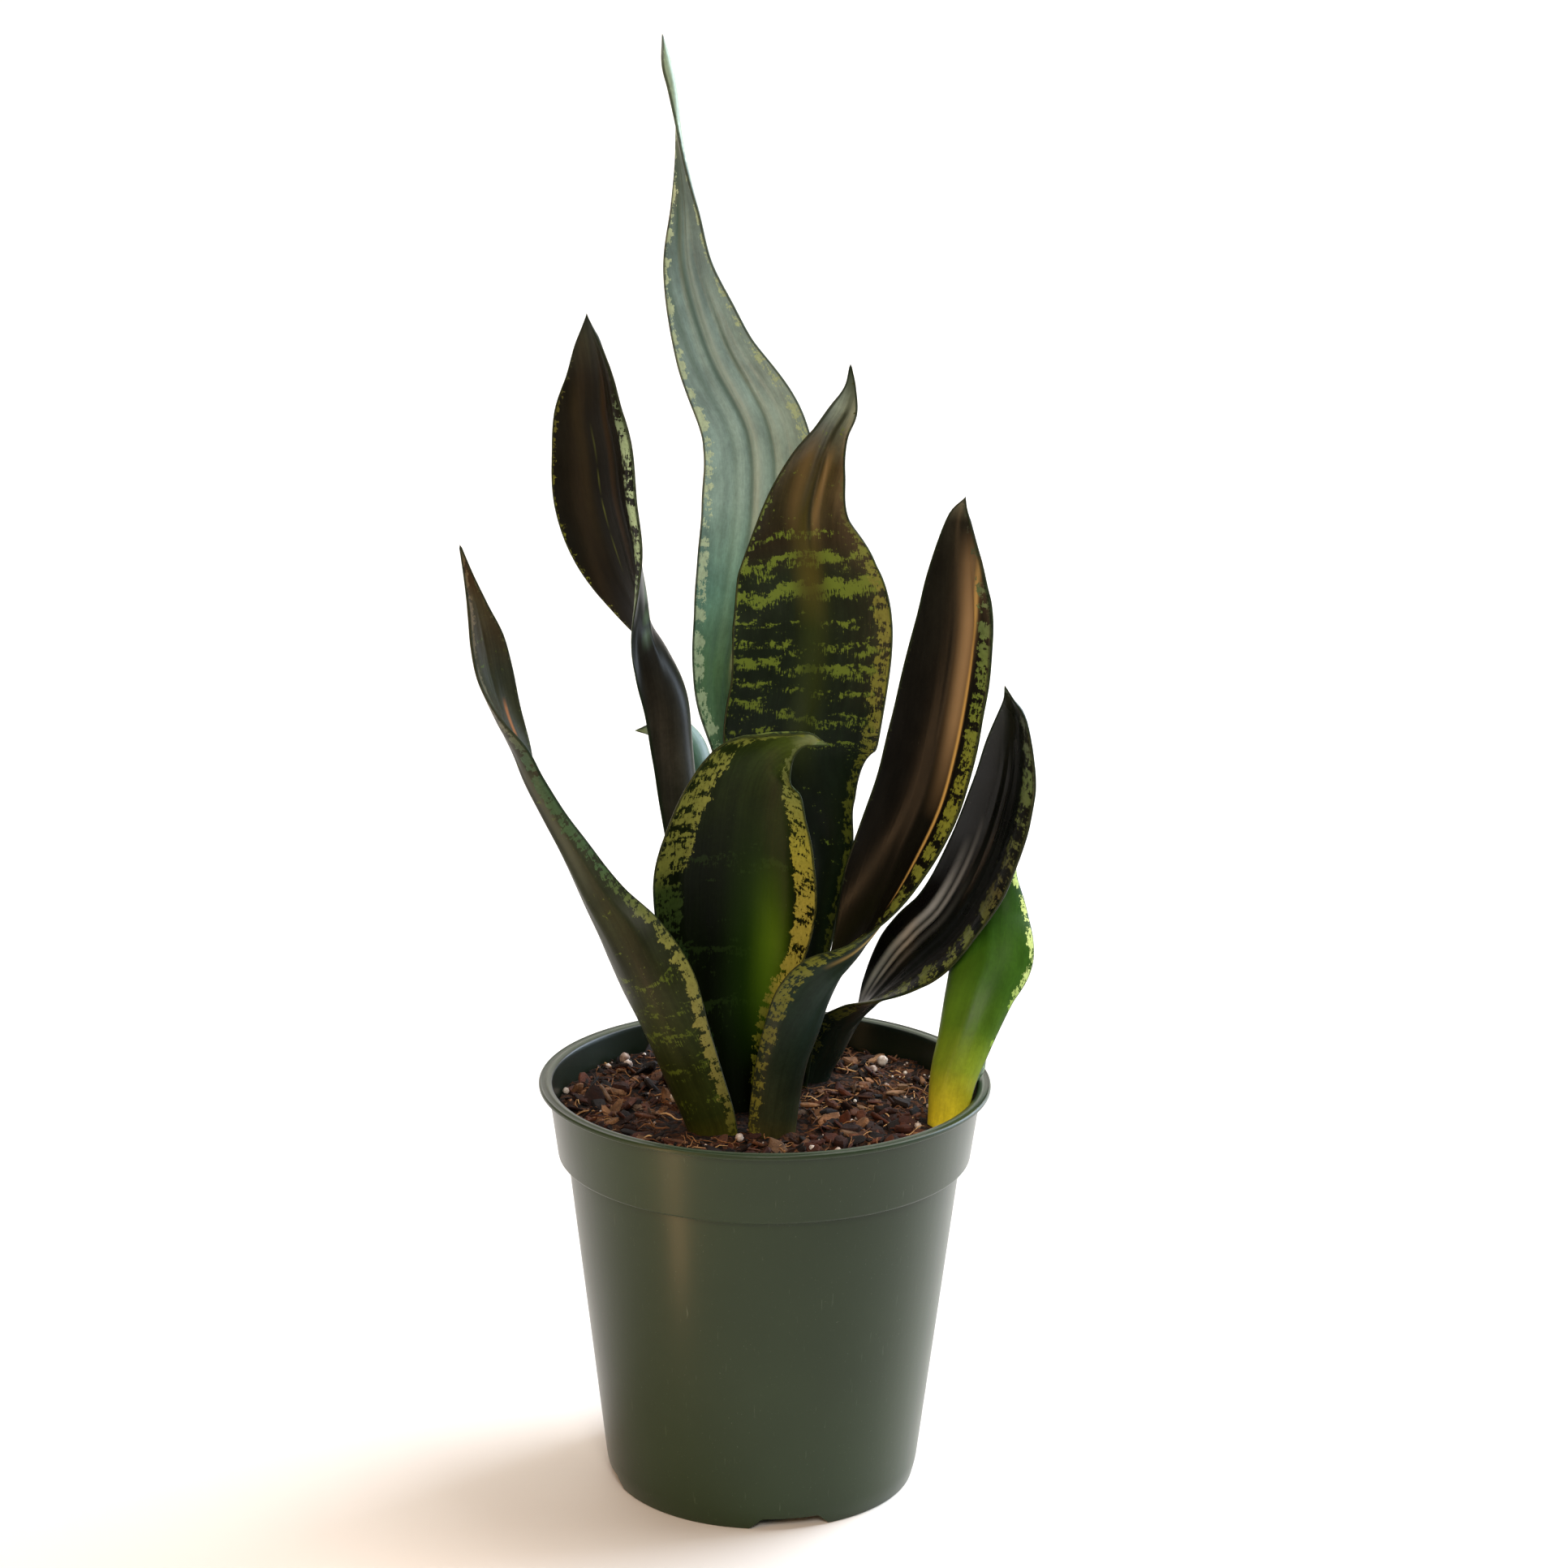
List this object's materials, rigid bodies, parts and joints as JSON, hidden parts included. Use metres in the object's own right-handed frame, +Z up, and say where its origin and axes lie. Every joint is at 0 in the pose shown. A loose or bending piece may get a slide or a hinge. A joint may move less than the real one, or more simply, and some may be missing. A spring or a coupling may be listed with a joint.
{
  "type": "potted snake plant",
  "caption": "Potted snake plant: twisted, mottled sword-shaped leaves and a young pup, rooted in bark potting mix in a round tapered plastic nursery pot.",
  "frame": {"origin": "middle of the whole plant's footprint, on the surface that the pot stands on; the pot's axis is 5 mm from it towards +X", "axes": "+Z up, the pot's axis is parallel to Z, and -Y is the front, where the low front leaf is"},
  "size_m": [0.1989, 0.16, 0.508],
  "materials": {
    "pot_plastic": "satin",
    "mix": "rough",
    "bark": "rough",
    "perlite": "rough",
    "tall_back_leaf": "satin",
    "centre_leaf": "satin",
    "front_leaf": "satin",
    "left_twisted_leaf": "satin",
    "back_left_leaf": "satin",
    "right_bronze_leaf": "satin",
    "right_low_leaf": "satin",
    "hidden_back_leaf": "satin",
    "young_pup_leaf": "satin",
    "pup_sheath_leaf": "satin"
  },
  "bodies": {
    "root": {"nursery_pot": "pot_plastic", "potting_mix": "mix", "tall_back_leaf": "tall_back_leaf", "centre_leaf": "centre_leaf", "front_leaf": "front_leaf", "left_twisted_leaf": "left_twisted_leaf", "back_left_leaf": "back_left_leaf", "right_bronze_leaf": "right_bronze_leaf", "right_low_leaf": "right_low_leaf", "hidden_back_leaf": "hidden_back_leaf", "young_pup_leaf": "young_pup_leaf", "pup_sheath_leaf": "pup_sheath_leaf", "bark_chip_1": "bark", "bark_chip_2": "bark", "bark_chip_3": "bark", "bark_chip_4": "bark", "bark_chip_5": "bark", "bark_chip_6": "bark", "bark_chip_7": "bark", "bark_chip_8": "bark", "bark_chip_9": "bark", "bark_chip_10": "bark", "bark_chip_11": "bark", "bark_chip_12": "bark", "perlite_grain_1": "perlite", "perlite_grain_2": "perlite", "perlite_grain_3": "perlite", "perlite_grain_4": "perlite", "perlite_grain_5": "perlite", "perlite_grain_6": "perlite", "perlite_grain_7": "perlite", "perlite_grain_8": "perlite"}
  },
  "joints": []
}
